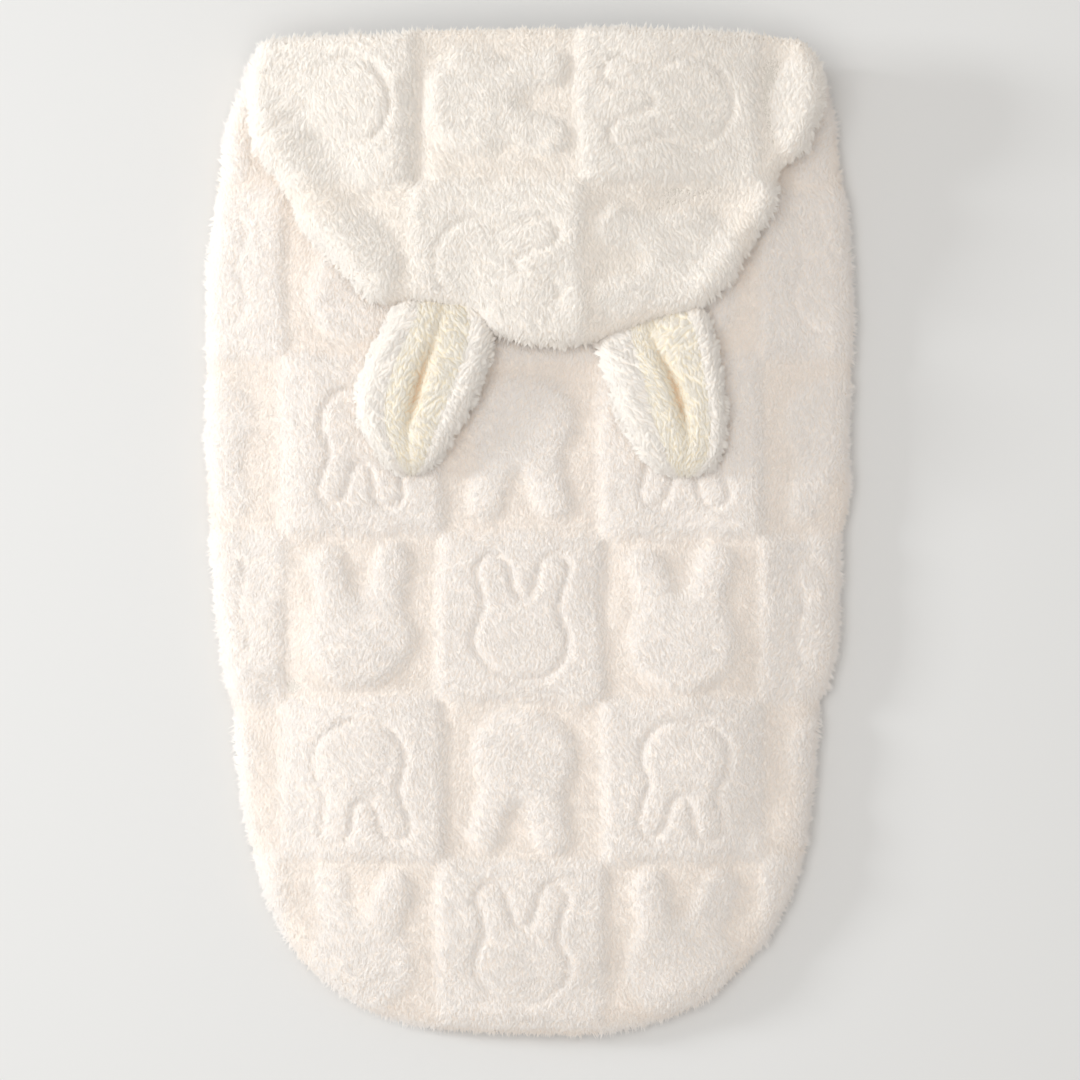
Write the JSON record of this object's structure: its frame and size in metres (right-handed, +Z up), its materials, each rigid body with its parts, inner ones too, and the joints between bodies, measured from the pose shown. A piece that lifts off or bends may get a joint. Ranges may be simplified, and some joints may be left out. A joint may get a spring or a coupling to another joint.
{
  "type": "baby bunting bag",
  "caption": "Plush baby bunting bag lying face down, closed round the feet, with a hood folded over the back and soft animal ears.",
  "frame": {"origin": "on the surface the bag lies on, under the middle of its bounding box", "axes": "+X across the bag, to the right as its back is seen from above; +Y from the toe to the neck; +Z up, away from the surface"},
  "size_m": [0.4266, 0.6529, 0.0657],
  "materials": {
    "plush": "deep cream embossed plush",
    "hood_plush": "deep cream embossed plush, a little warmer",
    "ear_lining": "long-pile creamy yellow fleece"
  },
  "bodies": {
    "root": {"back": "plush", "wing_left": "plush", "wing_right": "plush", "pouch": "plush", "hood_top": "hood_plush", "hood_under": "hood_plush", "ear_left_outer": "hood_plush", "ear_left_inner": "ear_lining", "ear_right_outer": "hood_plush", "ear_right_inner": "ear_lining"}
  },
  "joints": []
}
